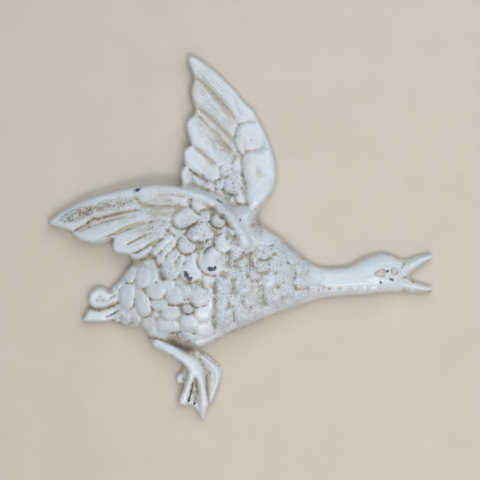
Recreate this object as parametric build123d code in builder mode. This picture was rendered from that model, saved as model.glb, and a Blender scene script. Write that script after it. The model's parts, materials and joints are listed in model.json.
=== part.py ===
"""Cast-metal wall plaque of a goose in flight, with its screwed-on ring hanger and rubber wall bumpers.

Frame: +X towards the bill, +Z up as the plaque hangs, the wall is the plane Y = 0 and the relief faces -Y.
The origin is on the wall, straight behind the point where the nail bears in the hanger ring.
The casting's outlines are drawn in a sketch frame of their own, on the casting's back rim, which lies
balance_shift further along X, so that the plaque's centre of mass hangs under the nail.
Every size is in millimetres.
"""

import os

from build123d import *

# ---- driving dimensions -------------------------------------------------------------------------------------------
bumper_thickness = 1.5  # holds the casting's back rim off the wall
bumper_diameter = 8.0
bumper_edge_round = 0.5
bumper_places = {
    "near_wing_bumper": (-52.0, -3.0),
    "far_wing_bumper": (6.0, 46.0),
    "neck_bumper": (62.0, -32.0),
}

balance_shift = 3.4  # along X, from the hanger's middle to the sketch frame of the casting
wall_thickness = 3.0  # of the casting's skin over the hollow
plate_depth = 4.5  # of the thin parts: far wing, tail and web
leg_depth = 6.5
bill_depth = 5.0
wing_root_depth = 18.5  # of the near wing at the shoulder
shoulder_x = 12.0
wing_tip_x = -77.3

wire_diameter = 2.0  # of the hanger ring
ring_inner_radius = 5.0
ring_side_length = 4.0  # straight part of each side, between the round top and the bar
ring_corner_radius = 2.0
ring_plane_y = -5.0  # middle of the wire
strap_sheet = 1.0
strap_width = 10.0
strap_length = 22.0  # from the bar's axis to the rounded foot
strap_neck_length = 3.0  # the narrow top, which clears the ring's corners
knuckle_width = 7.0
knuckle_clearance = 0.05  # between the ring's bar and the eye, on the radius

screw_radius = 1.5
screw_length = 6.0  # below the head
screw_head_radius = 2.8
screw_head_height = 2.0
screw_slot_width = 0.8
screw_slot_depth = 1.0
screw_hole_gap = 0.03
screw_drops = {"upper_hanger_screw": 5.5, "lower_hanger_screw": 15.5}  # below the bar's axis
boss_width = 13.0
boss_margin = 2.0

# ---- values worked out from them ----------------------------------------------------------------------------------
rim_y = -bumper_thickness
rim_plane = Plane(origin=(balance_shift, rim_y, 0), x_dir=(1, 0, 0), z_dir=(0, -1, 0))  # extrusions come forwards
wire_radius = wire_diameter / 2
ring_radius = ring_inner_radius + wire_radius  # to the middle of the wire
bar_z = -(ring_inner_radius + ring_side_length)
eye_inner_radius = wire_radius + knuckle_clearance
eye_outer_radius = eye_inner_radius + strap_sheet
strap_back_y = ring_plane_y - eye_outer_radius  # the face that lies on the casting's boss
strap_front_y = strap_back_y + strap_sheet

# ---- the torso, neck and head, as half-oval sections along X: (x, top, bottom, depth) -----------------------------
torso_sections = (
    (-46.0, -34.0, -50.0, 4.0),
    (-38.0, -24.0, -53.0, 7.5),
    (-28.0, -14.0, -57.0, 11.0),
    (-14.0, -8.0, -60.5, 14.5),
    (2.0, -5.0, -58.5, 16.5),
    (18.0, -4.5, -52.0, 16.0),
    (30.0, -11.5, -47.3, 14.0),
    (40.0, -19.8, -43.7, 10.0),
    (50.0, -25.6, -40.2, 7.0),
    (60.0, -25.8, -38.8, 6.3),
    (70.0, -21.5, -38.5, 7.5),
    (78.0, -19.5, -38.2, 8.5),
    (84.0, -21.3, -37.2, 7.5),
    (88.0, -25.0, -35.0, 4.8),
)
hollow_sections = torso_sections[2:8]

# ---- outlines of the flat parts: each is a list of runs, a spline where a run has more than two points -------------
near_wing_outline = (
    (
        *((-77.3, -5.0), (-70.0, 1.0), (-60.0, 6.0), (-40.0, 11.0), (-24.0, 12.8)),
        *((-8.0, 10.5), (5.0, 4.0), (14.0, -5.0), (18.0, -15.0)),
    ),
    ((18.0, -15.0), (11.0, -24.0), (0.0, -29.0), (-12.0, -31.0), (-23.0, -28.5), (-29.5, -21.0)),
    ((-29.5, -21.0), (-38.0, -21.5)),
    ((-38.0, -21.5), (-45.5, -19.3), (-47.3, -16.5), (-46.6, -13.0)),
    ((-46.6, -13.0), (-54.0, -14.6), (-61.5, -13.0), (-66.0, -9.6)),
    ((-66.0, -9.6), (-72.0, -8.0), (-77.3, -5.0)),
)
wing_hollow_outline = (
    ((-40.0, 3.0), (-24.0, 9.0), (-8.0, 7.0), (2.5, 1.8), (10.5, -6.5), (14.0, -15.0)),
    ((14.0, -15.0), (8.5, -21.5), (0.0, -25.5), (-12.0, -27.5), (-20.0, -25.0), (-26.0, -18.0)),
    ((-26.0, -18.0), (-40.0, 3.0)),
)
far_wing_outline = (
    (
        *((-12.8, 69.5), (-11.5, 72.4), (-8.0, 71.8), (4.0, 62.3), (18.0, 47.3)),
        *((26.0, 31.5), (29.0, 19.0), (26.5, 8.0), (20.7, 0.0)),
    ),
    ((20.7, 0.0), (20.8, -4.0), (24.0, -8.0)),
    ((24.0, -8.0), (10.0, -20.0)),
    ((10.0, -20.0), (-14.0, 2.0)),
    ((-14.0, 2.0), (-15.6, 15.0)),
    ((-15.6, 15.0), (-16.0, 18.0), (-14.4, 21.5)),
    ((-14.4, 21.5), (-14.9, 26.5), (-11.2, 31.2)),
    ((-11.2, 31.2), (-13.5, 39.5), (-9.3, 46.0)),
    ((-9.3, 46.0), (-11.5, 55.0), (-10.0, 62.0)),
    ((-10.0, 62.0), (-11.5, 66.0), (-12.8, 69.5)),
)
tail_curl_outline = (
    ((-44.0, -32.0), (-48.5, -36.0)),
    ((-48.5, -36.0), (-53.5, -34.8), (-58.6, -39.0), (-56.5, -44.0), (-48.0, -43.6)),
    ((-48.0, -43.6), (-40.0, -41.0)),
    ((-40.0, -41.0), (-44.0, -32.0)),
)
tail_feather_outline = (
    ((-61.0, -50.2), (-57.6, -45.2)),
    ((-57.6, -45.2), (-50.0, -44.0), (-40.0, -40.0)),
    ((-40.0, -40.0), (-33.0, -52.5)),
    ((-33.0, -52.5), (-40.0, -52.4), (-47.0, -50.3)),
    ((-47.0, -50.3), (-54.0, -50.8), (-61.0, -50.2)),
)
thigh_outline = (
    ((-29.0, -57.0), (-28.5, -62.5)),
    ((-28.5, -62.5), (-18.0, -67.8), (-12.0, -75.0)),
    ((-12.0, -75.0), (-4.0, -75.0)),
    ((-4.0, -75.0), (-4.5, -69.0), (-7.0, -64.0)),
    ((-7.0, -64.0), (0.0, -56.0)),
    ((0.0, -56.0), (-29.0, -57.0)),
)
foot_outline = (
    ((-7.0, -64.0), (-1.0, -69.2), (3.6, -75.0)),
    ((3.6, -75.0), (2.8, -81.5), (-1.0, -88.8)),
    ((-1.0, -88.8), (-5.2, -96.0)),
    ((-5.2, -96.0), (-9.0, -90.5), (-12.5, -89.2)),
    ((-12.5, -89.2), (-16.6, -89.4)),
    ((-16.6, -89.4), (-15.6, -84.5), (-12.0, -76.0)),
    ((-12.0, -76.0), (-7.0, -64.0)),
)
hind_toe_outline = (
    ((-11.0, -71.0), (-15.0, -73.5), (-17.6, -77.5), (-16.0, -79.3), (-11.0, -75.5)),
    ((-11.0, -75.5), (-11.0, -71.0)),
)
upper_bill_outline = (
    ((84.0, -21.5), (90.0, -22.0), (96.0, -20.1), (101.0, -19.9)),
    ((101.0, -19.9), (101.2, -21.6), (97.0, -25.0), (90.8, -29.8)),
    ((90.8, -29.8), (84.0, -30.5)),
    ((84.0, -30.5), (84.0, -21.5)),
)
lower_bill_outline = (
    ((84.0, -29.5), (90.8, -29.8)),
    (
        *((90.8, -29.8), (94.0, -32.5), (100.0, -34.0), (101.2, -35.6)),
        *((99.0, -37.4), (92.0, -37.4), (84.0, -36.5)),
    ),
    ((84.0, -36.5), (84.0, -29.5)),
)


def outline_face(runs):
    """Adds one closed face to the sketch in hand, from its runs of points."""
    with BuildLine() as outline:
        for run in runs:
            if len(run) > 2:
                Spline(*run)
            else:
                Line(*run)
    make_face(outline.edges())


def half_oval(x, top, bottom, depth):
    """A sketch across the body at x: an oval's front half, with its flat side on the back rim's plane."""
    section_plane = Plane(origin=(balance_shift + x, rim_y, 0), x_dir=(0, 0, 1), z_dir=(1, 0, 0))
    middle, half_height = (top + bottom) / 2, (top - bottom) / 2
    with BuildSketch(section_plane) as section:
        with BuildLine():
            EllipticalCenterArc((middle, 0), half_height, depth, start_angle=0, arc_size=180)
            Line((middle - half_height, 0), (middle + half_height, 0))
        make_face()
    return section.sketch


def wing_block(runs, skin):
    """A block on the back rim's plane; its front slopes from the shoulder down to the wing tip, less the skin."""
    slope = Plane(
        origin=(balance_shift + wing_tip_x, rim_y - plate_depth + skin, 0),
        x_dir=(shoulder_x - wing_tip_x, plate_depth - wing_root_depth, 0),
        z_dir=(plate_depth - wing_root_depth, wing_tip_x - shoulder_x, 0),
    )
    with BuildPart() as block:
        with BuildSketch(rim_plane):
            outline_face(runs)
        extrude(amount=2 * wing_root_depth)
        split(bisect_by=slope, keep=Keep.BOTTOM)
    return block.part


# ---- the casting --------------------------------------------------------------------------------------------------
with BuildPart() as casting:
    loft([half_oval(*section) for section in torso_sections])
    add(wing_block(near_wing_outline, 0))
    for outline, depth in (
        (far_wing_outline, plate_depth),
        (tail_curl_outline, plate_depth),
        (tail_feather_outline, plate_depth),
        (thigh_outline, leg_depth),
        (foot_outline, plate_depth),
        (hind_toe_outline, plate_depth),
        (upper_bill_outline, bill_depth),
        (lower_bill_outline, bill_depth),
    ):
        with BuildSketch(rim_plane):
            outline_face(outline)
        extrude(amount=depth)
    # the hollow back, one wall thickness inside the torso and the near wing
    loft(
        [
            half_oval(x, top - wall_thickness, bottom + wall_thickness, depth - wall_thickness)
            for x, top, bottom, depth in hollow_sections
        ],
        mode=Mode.SUBTRACT,
    )
    add(wing_block(wing_hollow_outline, wall_thickness), mode=Mode.SUBTRACT)
    # the boss that the hanger's strap is screwed to, from the skin back to the strap
    boss_top = bar_z - eye_outer_radius - screw_hole_gap
    boss_bottom = bar_z - strap_length - boss_margin
    with BuildSketch(Plane.XZ.offset(-strap_back_y)):
        with Locations((0, (boss_top + boss_bottom) / 2)):
            Rectangle(boss_width, boss_top - boss_bottom)
    extrude(until=Until.NEXT)
    with Locations(*(Location((0, strap_back_y, bar_z - drop), (90, 0, 0)) for drop in screw_drops.values())):
        Hole(screw_radius + screw_hole_gap, depth=screw_length)
casting.part.label = "casting"

# ---- the hanger: a strap with a rolled eye, the D ring that swings in it, and two screws ---------------------------
with BuildPart() as hanger_strap:
    with BuildSketch(Plane.XZ.offset(-strap_front_y)):
        with Locations((0, bar_z - (strap_neck_length + strap_length) / 2)):
            Rectangle(strap_width, strap_length - strap_neck_length)
        fillet(vertices().group_by(Axis.Y)[0], strap_width / 2 - 0.5)
        with Locations((0, bar_z - strap_length / 4)):
            Rectangle(knuckle_width, strap_length / 2)
        with Locations(*((0, bar_z - drop) for drop in screw_drops.values())):
            Circle(screw_radius + 0.2, mode=Mode.SUBTRACT)
    extrude(amount=strap_sheet)
    with BuildSketch(Plane.YZ.offset(-knuckle_width / 2)) as eye:
        with Locations((ring_plane_y, bar_z)):
            Circle(eye_outer_radius)
    extrude(amount=knuckle_width)
    with BuildSketch(Plane.YZ.offset(-strap_width / 2)):
        with Locations((ring_plane_y, bar_z)):
            Circle(eye_inner_radius)
    extrude(amount=strap_width, mode=Mode.SUBTRACT)
hanger_strap.part.label = "hanger_strap"

with BuildPart() as hanger_ring:
    with BuildLine(Plane.XZ.offset(-ring_plane_y)) as ring_path:
        lower_run = Polyline(
            (-ring_radius, -ring_inner_radius),
            (-ring_radius, bar_z),
            (ring_radius, bar_z),
            (ring_radius, -ring_inner_radius),
        )
        fillet(lower_run.vertices().group_by(Axis.Z)[0], ring_corner_radius)
        ThreePointArc(
            (ring_radius, -ring_inner_radius),
            (0, wire_radius),
            (-ring_radius, -ring_inner_radius),
        )
    with BuildSketch(Plane(origin=(0, ring_plane_y, bar_z), z_dir=(1, 0, 0))):
        Circle(wire_radius)
    sweep(path=ring_path.wires()[0])
hanger_ring.part.label = "hanger_ring"

screws = {}
for screw_name, drop in screw_drops.items():
    with BuildPart() as screw:
        with BuildSketch(Plane.XZ.offset(-strap_front_y)):
            with Locations((0, bar_z - drop)):
                Circle(screw_radius)
        extrude(amount=screw_length)
        with BuildSketch(Plane.XZ.offset(-strap_front_y)):
            with Locations((0, bar_z - drop)):
                Circle(screw_head_radius)
        extrude(amount=-screw_head_height)
        fillet(edges().group_by(Axis.Y)[-1], screw_head_height / 2)
        with BuildSketch(Plane.XZ.offset(-strap_front_y - screw_head_height)):
            with Locations((0, bar_z - drop)):
                Rectangle(2 * screw_head_radius, screw_slot_width, rotation=35)
        extrude(amount=screw_slot_depth, mode=Mode.SUBTRACT)
    screw.part.label = screw_name
    screws[screw_name] = screw.part

# ---- the rubber bumpers between the casting's flat back and the wall -----------------------------------------------
bumpers = {}
for bumper_name, (x, z) in bumper_places.items():
    with BuildPart() as bumper:
        with BuildSketch(rim_plane):
            with Locations((x, z)):
                Circle(bumper_diameter / 2)
        extrude(amount=-bumper_thickness)
        fillet(edges().group_by(Axis.Y)[-1], bumper_edge_round)
    bumper.part.label = bumper_name
    bumpers[bumper_name] = bumper.part

# ---- output -------------------------------------------------------------------------------------------------------
os.makedirs("parts", exist_ok=True)
for part in (casting.part, hanger_strap.part, hanger_ring.part, *screws.values(), *bumpers.values()):
    export_step(part, f"parts/{part.label}.step")
    print(f"{part.label}: {len(part.solids())} solid, {part.volume:.1f} mm3")
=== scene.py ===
"""Looks of the cast-metal goose plaque.

The goose is one casting. Its visible mesh is a relief: a closed skin whose front is a field of heights
over the casting's flat back rim, modelled feather by feather in millimetres, in the same sketch frame as
the CAD casting. Points are (x, z) there, and angles are degrees from +X towards +Z.
"""

import json
import math

import bpy
import numpy as np
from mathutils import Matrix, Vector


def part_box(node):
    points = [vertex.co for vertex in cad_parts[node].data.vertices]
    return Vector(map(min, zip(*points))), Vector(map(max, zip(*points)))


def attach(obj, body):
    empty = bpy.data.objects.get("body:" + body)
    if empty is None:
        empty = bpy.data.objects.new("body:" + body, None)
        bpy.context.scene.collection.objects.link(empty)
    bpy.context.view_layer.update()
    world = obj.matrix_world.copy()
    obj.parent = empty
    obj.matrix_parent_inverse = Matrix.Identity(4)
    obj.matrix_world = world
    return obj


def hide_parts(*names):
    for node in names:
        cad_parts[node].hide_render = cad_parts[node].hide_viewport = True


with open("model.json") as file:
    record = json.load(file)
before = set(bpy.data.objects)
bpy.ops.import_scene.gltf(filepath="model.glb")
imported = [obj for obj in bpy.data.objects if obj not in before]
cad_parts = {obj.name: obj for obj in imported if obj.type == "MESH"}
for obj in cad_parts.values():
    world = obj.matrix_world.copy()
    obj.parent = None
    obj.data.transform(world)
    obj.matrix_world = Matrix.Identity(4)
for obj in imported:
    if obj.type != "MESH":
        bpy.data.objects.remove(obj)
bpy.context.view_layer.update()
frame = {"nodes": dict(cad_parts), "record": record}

MM = 0.001

# ---- the casting's sketch frame, in millimetres --------
wing_tip_x = -77.3
casting_low, casting_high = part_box("casting")
sketch_shift = casting_low.x / MM - wing_tip_x
rim_y = casting_high.y / MM
strap_back_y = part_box("hanger_strap")[0].y / MM

wall_thickness = 3.0
plate_depth = 4.5
wing_root_depth = 18.5
shoulder_x = 12.0
clearance = 0.1  # the relief stays this far inside the CAD box
tallest_relief = rim_y - casting_low.y / MM - clearance
thinnest_relief = 1.0

# torso, neck and head along X: (x, top, bottom, depth), as in the CAD casting
torso_stations = (
    (-46, -34, -50, 4), (-38, -24, -53, 7.5), (-28, -14, -57, 11), (-14, -8, -60.5, 14.5),
    (2, -5, -58.5, 16.5), (18, -4.5, -52, 16), (30, -11.5, -47.3, 14), (40, -19.8, -43.7, 10),
    (50, -25.6, -40.2, 7), (60, -25.8, -38.8, 6.3), (70, -21.5, -38.5, 7.5), (78, -19.5, -38.2, 8.5),
    (84, -21.3, -37.2, 7.5), (88, -25, -35, 4.8),
)

# ---- outlines of the casting's parts, (x, z) --------
body_outline = (
    (20.8, -4), (25, -8.3), (30, -11.5), (35, -15.5), (40, -19.8), (45, -23.7), (50, -25.8), (56, -26),
    (62, -25.3), (68, -22.3), (73, -20.3), (78, -19.5), (82, -20.2), (85.5, -21.8), (88, -22.6),
    (90, -27), (90.6, -30), (90, -34), (87, -36.5), (80, -37.1), (70, -38.2), (60, -38.8), (52, -39.6),
    (45, -41.4), (38, -43.9), (28, -47.2), (18, -51.8), (8, -55.8), (0, -59.3), (-6.5, -62.6), (-14, -62),
    (-22, -60), (-29.3, -57.8), (-31.5, -55.4), (-33.5, -53.4), (-39, -53), (-44, -52), (-47.3, -50.2),
    (-49, -44), (-48.5, -36.2), (-44, -31.8), (-41.2, -27.8), (-38.6, -24.3), (-37, -19), (-30, -12),
    (-14, -2), (2, 2), (16, 4), (20.4, 0),
)
near_wing_outline = (
    (-77.3, -5), (-74, -1.8), (-70, 0.9), (-65, 3.6), (-60, 5.9), (-50, 8.8), (-40, 11), (-32, 12.4),
    (-25, 12.8), (-17, 12.2), (-8, 10.2), (0, 7), (6, 3), (10.5, -1.2), (14.5, -7), (17.5, -13),
    (18.2, -16), (15, -18.5), (12.5, -21), (7, -24.5), (3.5, -27.3), (-1, -28.2), (-5.5, -27.6),
    (-6.5, -30.3), (-10, -31.3), (-13.8, -30.2), (-15.6, -28.9), (-19.5, -30.5), (-22.6, -29.3),
    (-24.3, -25.2), (-26.4, -23.6), (-27.6, -20.9), (-29.4, -19.6), (-31, -20.6), (-35, -22),
    (-38.3, -21.5), (-39, -20.4), (-41.5, -19.8), (-44.5, -19.4), (-46.6, -18), (-47.3, -15.8),
    (-47, -13.6), (-47, -12.7), (-49.5, -13.4), (-53, -14.6), (-57, -14.5), (-61, -13.3), (-64.5, -11.4),
    (-66.2, -9.9), (-66.8, -9.1), (-70, -8.2), (-74, -7),
)
far_wing_outline = (
    (-12.7, 69.6), (-12.2, 71.9), (-10.2, 72.4), (-7, 71), (-3, 68.2), (2, 64), (8, 58.2), (13, 52.2),
    (16, 49), (18.4, 47.1), (20.4, 43.2), (22.8, 38.5), (25.4, 33), (27.5, 27), (28.8, 21), (28.8, 15.5),
    (27.3, 10), (24.5, 5.5), (21.8, 2.2), (20.7, -1), (20.9, -4), (20, -8), (12, -14), (0, -8), (-14, 4),
    (-15.3, 11.5), (-15.5, 14.5), (-16, 17.4), (-15.1, 20), (-14.1, 21.6), (-14.6, 25.5), (-14.5, 28),
    (-13, 29.8), (-11.2, 31.2), (-11.8, 34), (-12.9, 37), (-13.6, 40.3), (-12.5, 42.7), (-10.2, 44.9),
    (-9.2, 47), (-10, 50), (-11.2, 53.5), (-11.4, 57), (-10.2, 60.4), (-10.1, 62.8), (-11.3, 66),
)
tail_curl_outline = (
    (-47.5, -35.9), (-49.2, -36.1), (-51.5, -34.9), (-54.5, -35.1), (-57.3, -37), (-58.6, -40),
    (-57.9, -42.8), (-55.5, -44.3), (-51.5, -44.7), (-47, -43.5), (-42, -41), (-41, -36), (-44, -32.5),
)
tail_feather_outline = (
    (-61.3, -50.3), (-60, -48.2), (-58.4, -45), (-54, -43.6), (-46, -41.5), (-41, -43), (-41, -47),
    (-44.5, -48.6), (-47, -49.9), (-50, -50.7), (-55.5, -51),
)
leg_outline = (
    (-29.2, -57.8), (-28.9, -61.6), (-25, -63.9), (-20, -66.3), (-16, -68.7), (-13.2, -71.4),
    (-12, -74.5), (-12.5, -78), (-14.2, -82), (-16.1, -86), (-17, -88.8), (-15.4, -89.7), (-12.6, -89.4),
    (-10.6, -89.7), (-8.6, -91.4), (-7, -94), (-5.3, -95.9), (-3.9, -93.5), (-2.9, -90), (-1, -88.6),
    (0.8, -85.5), (2.2, -81), (3, -77.5), (3.7, -74.8), (2.2, -71.4), (-1, -68.5), (-4, -66.2),
    (-6.8, -63.8), (-6, -58), (-18, -55),
)
hind_toe_outline = (
    (-12, -70.3), (-14.3, -71.2), (-14.9, -73.8), (-16.7, -75.4), (-17.7, -77.6), (-17, -79.3),
    (-15, -79), (-13.8, -81), (-11.5, -80), (-11, -74),
)
upper_bill_outline = (
    (83, -22), (86, -21.8), (88.5, -22.3), (91, -21.7), (94.5, -20.4), (97.5, -19.8), (100.2, -19.8),
    (101.1, -20.7), (99.6, -22.3), (96.5, -24.2), (93.2, -26.8), (91.3, -29), (90.6, -30.4), (84, -31),
)
lower_bill_outline = (
    (84, -29), (90.5, -29.6), (91.6, -31.5), (94, -32.8), (97.5, -33.7), (100.3, -34.5), (101.2, -35.7),
    (100, -37.1), (96, -37.6), (91.5, -37.3), (88, -36.6), (83, -36.8),
)

# ---- the grid that the relief is modelled on --------
pitch = 0.45
margin = 2.0
bill_tip_x, toe_low_z, far_wing_top_z = 101.2, -96.2, 72.5
grid_x = np.arange(wing_tip_x - margin, bill_tip_x + margin, pitch)
grid_z = np.arange(toe_low_z - margin, far_wing_top_z + margin, pitch)
node_x, node_z = np.meshgrid(grid_x, grid_z, indexing="ij")
random = np.random.default_rng(11)


def smooth_line(points, closed=False, steps=6):
    """Points along a Catmull-Rom curve through the given ones."""
    p = np.array(points, float)
    if len(p) == 2 and not closed:
        return p
    if closed:
        p = np.vstack((p[-1], p, p[:2]))
    else:
        p = np.vstack((2 * p[0] - p[1], p, 2 * p[-1] - p[-2]))
    t = np.linspace(0, 1, steps, endpoint=False)[:, None]
    spans = [
        0.5 * (2 * b + (c - a) * t + (2 * a - 5 * b + 4 * c - d) * t**2 + (3 * b - a - 3 * c + d) * t**3)
        for a, b, c, d in zip(p[:-3], p[1:-2], p[2:-1], p[3:])
    ]
    return np.vstack(spans if closed else spans + [p[-2:-1]])


def window(points, reach):
    """The part of the grid within reach of the points."""
    low, high = points.min(0) - reach, points.max(0) + reach
    i0, i1 = np.searchsorted(grid_x, (low[0], high[0]))
    j0, j1 = np.searchsorted(grid_z, (low[1], high[1]))
    return slice(max(i0 - 1, 0), i1 + 1), slice(max(j0 - 1, 0), j1 + 1)


def distance_to(line, at, closed=False):
    """Distance from the grid's nodes to a line, and how far along it (0 to 1) the nearest point is."""
    x, z = node_x[at], node_z[at]
    ends = np.vstack((line, line[:1])) if closed else line
    runs = np.hypot(*np.diff(ends, axis=0).T)
    starts = np.concatenate(((0,), np.cumsum(runs)))
    nearest = np.full(x.shape, np.inf)
    along = np.zeros(x.shape)
    for (ax, az), (bx, bz), run, start in zip(ends[:-1], ends[1:], runs, starts):
        if run == 0:
            continue
        t = np.clip(((x - ax) * (bx - ax) + (z - az) * (bz - az)) / run**2, 0, 1)
        gap = np.hypot(x - ax - t * (bx - ax), z - az - t * (bz - az))
        closer = gap < nearest
        nearest = np.where(closer, gap, nearest)
        along = np.where(closer, start + t * run, along)
    return nearest, along / starts[-1]


def depth_inside(outline, at):
    """Distance inside a closed outline, negative outside it."""
    x, z = node_x[at], node_z[at]
    inside = np.zeros(x.shape, bool)
    for (ax, az), (bx, bz) in zip(outline, np.roll(outline, -1, axis=0)):
        if az != bz:
            crosses = ((az > z) != (bz > z)) & (x < ax + (z - az) * (bx - ax) / (bz - az))
            inside ^= crosses
    return np.where(inside, 1, -1) * distance_to(outline, at, closed=True)[0]


def blur(field, radius):
    """Gaussian blur by a radius in millimetres."""
    reach = max(1, round(3 * radius / pitch))
    steps = np.arange(-reach, reach + 1)
    weights = np.exp(-0.5 * (steps * pitch / radius) ** 2)
    weights /= weights.sum()
    for axis in (0, 1):
        padded = np.pad(field, [(reach, reach) if a == axis else (0, 0) for a in (0, 1)], mode="edge")
        count = field.shape[axis]
        field = sum(w * np.take(padded, range(k, k + count), axis) for k, w in enumerate(weights))
    return field


def noise(radius):
    """Seeded smooth noise over the grid, with bumps of about that radius and a spread of 1."""
    field = blur(random.normal(size=node_x.shape), radius)
    return field / field.std()


def ease(value, low, high):
    """0 below low, 1 above high, and smooth between."""
    t = np.clip((value - low) / (high - low), 0, 1)
    return t * t * (3 - 2 * t)


def rounded(inside, radius, edge):
    """A plate's profile: edge at its outline, 1 from radius inwards, a quarter circle between."""
    u = np.clip(inside / radius, 0, 1)
    return edge + (1 - edge) * np.sqrt(1 - (1 - u) ** 2)


# ---- the silhouette --------
everywhere = (slice(None), slice(None))
far_outside = -99.0
part_outlines = [
    smooth_line(outline, closed=True)
    for outline in (
        body_outline, near_wing_outline, far_wing_outline, tail_curl_outline, tail_feather_outline,
        leg_outline, hind_toe_outline, upper_bill_outline, lower_bill_outline,
    )
]


def silhouette_depth():
    """Distance inside the whole silhouette, negative outside."""
    depth = np.full(node_x.shape, far_outside)
    for outline in part_outlines:
        at = window(outline, 3.0)
        depth[at] = np.maximum(depth[at], depth_inside(outline, at))
    return depth


def neighbours_any(flags):
    """True where a node or one of its eight neighbours is True."""
    grown = flags.copy()
    for axis in (0, 1):
        grown = grown | np.roll(grown, 1, axis) | np.roll(grown, -1, axis)
    return grown


silhouette = silhouette_depth()
is_inner = silhouette > 0.4 * pitch
is_edge = neighbours_any(is_inner) & ~is_inner
for _ in range(3):  # each round draws the edge nodes closer to the outline itself
    slope_x, slope_z = np.gradient(silhouette, pitch)
    steepness = np.maximum(np.hypot(slope_x, slope_z), 0.3)
    node_x[is_edge] -= (silhouette * slope_x / steepness**2)[is_edge]
    node_z[is_edge] -= (silhouette * slope_z / steepness**2)[is_edge]
    silhouette = silhouette_depth()
is_used = is_inner | is_edge

# ---- the ground that the feathers lie on, as heights over the back rim --------
wing_length = shoulder_x - wing_tip_x
wing_plane = plate_depth + (wing_root_depth - plate_depth) * (node_x - wing_tip_x) / wing_length
relief = np.zeros(node_x.shape)
on_outline = -0.15  # a node this far outside still belongs to the part


def lay_plate(outline, height, radius, edge):
    """Lays a flat part with a rounded edge; height is a number or a field over the grid."""
    at = window(outline, 2.0)
    inside = depth_inside(outline, at)
    level = height[at] if isinstance(height, np.ndarray) else height
    top = np.where(inside > on_outline, level * rounded(inside, radius, edge), 0)
    relief[at] = np.maximum(relief[at], top)


def lay_torso():
    """Lays the torso, neck and head: a half oval of the station's depth across each x."""
    x, top, bottom, depth = np.array(torso_stations).T
    half_height = np.interp(node_x, x, (top - bottom) / 2)
    level = np.interp(node_x, x, depth)
    inside = depth_inside(body_line, everywhere)
    top = np.where(inside > on_outline, level * rounded(inside, np.maximum(half_height, 4.0), 0.24), 0)
    np.maximum(relief, top, out=relief)


(
    body_line, near_wing_line, far_wing_line, curl_line, tail_line,
    leg_line, hind_toe_line, upper_bill_line, lower_bill_line,
) = part_outlines

far_wing_level = 3.2 + 3.3 * ease(-node_z, -62, -6)  # thicker towards the body
lay_plate(far_wing_line, far_wing_level, 1.5, 0.45)
lay_torso()
lay_plate(curl_line, 4.2, 2.6, 0.35)
lay_plate(tail_line, 3.2, 1.5, 0.4)
lay_plate(leg_line, 3.0, 1.2, 0.5)
lay_plate(hind_toe_line, 2.2, 1.0, 0.5)
lay_plate(upper_bill_line, 3.0, 1.2, 0.45)
lay_plate(lower_bill_line, 3.0, 1.2, 0.45)

leading_edge_points = 18  # of the near wing's outline, from its tip round the shoulder
leading_edge = smooth_line(near_wing_outline[:leading_edge_points])
leading_distance = distance_to(leading_edge, everywhere)[0]
wing_level = (wing_plane - 1.0) * (0.62 + 0.38 * rounded(leading_distance, 5.0, 0.0))
lay_plate(near_wing_line, wing_level, 1.4, 0.4)
ground = relief.copy()


# ---- tools for the relief --------
def lift(at, inside, shape, height, moat=0.35):
    """Raises the relief inside an outline to the ground plus height times shape, with a moat outside."""
    moat_width = 1.1
    relief[at] -= moat * np.where(inside < 0, np.clip(1 + inside / moat_width, 0, 1), 0) ** 1.5
    raised = np.where(inside > 0, ground[at] + height * shape, 0)
    relief[at] = np.maximum(relief[at], raised)


def blade(points, height, edge=1.4, base=None, tip=None, base_share=0.25, moat=0.3):
    """A feather with a given outline, which rises from base to tip, so that its tip stands free."""
    outline = smooth_line(points, closed=True)
    at = window(outline, 1.5)
    inside = depth_inside(outline, at)
    shape = rounded(inside, edge, 0.0)
    freedom = 1.0
    if base is not None:
        (bx, bz), (tx, tz) = base, tip
        run = (tx - bx) ** 2 + (tz - bz) ** 2
        along = ((node_x[at] - bx) * (tx - bx) + (node_z[at] - bz) * (tz - bz)) / run
        freedom = np.clip(along, 0, 1)
        shape = shape * (base_share + (1 - base_share) * freedom)
    lift(at, inside, shape, height, moat * freedom)


def oval(x, z, length, width, angle, at):
    """The nodes' places along and across a turned oval, in its own half axes: 1 is on its outline."""
    turn = math.radians(angle)
    along = ((node_x[at] - x) * math.cos(turn) + (node_z[at] - z) * math.sin(turn)) / length
    across = (-(node_x[at] - x) * math.sin(turn) + (node_z[at] - z) * math.cos(turn)) / width
    return along, across


def scale(x, z, length, width, angle, height, base_share=0.45, moat=0.55):
    """A puffy oval feather with half axes length and width, whose free end points along angle."""
    at = window(np.array(((x, z),)), max(length, width) + 1.5)
    u, v = oval(x, z, length, width, angle, at)
    squareness = 2.3
    radius = (np.abs(u) ** squareness + np.abs(v) ** squareness) ** (1 / squareness)
    dome = np.clip(1 - radius**4.0, 0, 1) ** 0.6
    freedom = np.clip(0.55 + 0.6 * u, 0, 1)
    shape = dome * (base_share + (1 - base_share) * freedom)
    lift(at, (1 - radius) * min(length, width), shape, height, moat * freedom)


def ridge(points, widths, heights, above_ground=True, flatness=2.0):
    """A bead along a line, round or flatter on top. Half widths and heights are spread evenly along it."""
    line = smooth_line(points)
    at = window(line, max(widths) + 0.5)
    gap, along = distance_to(line, at)
    half_width = np.interp(along, np.linspace(0, 1, len(widths)), widths)
    height = np.interp(along, np.linspace(0, 1, len(heights)), heights)
    bead = np.sqrt(np.clip(1 - (gap / half_width) ** flatness, 0, 1))
    base = ground[at] if above_ground else 0
    relief[at] = np.maximum(relief[at], np.where(bead > 0, base + height * bead, 0))


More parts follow.
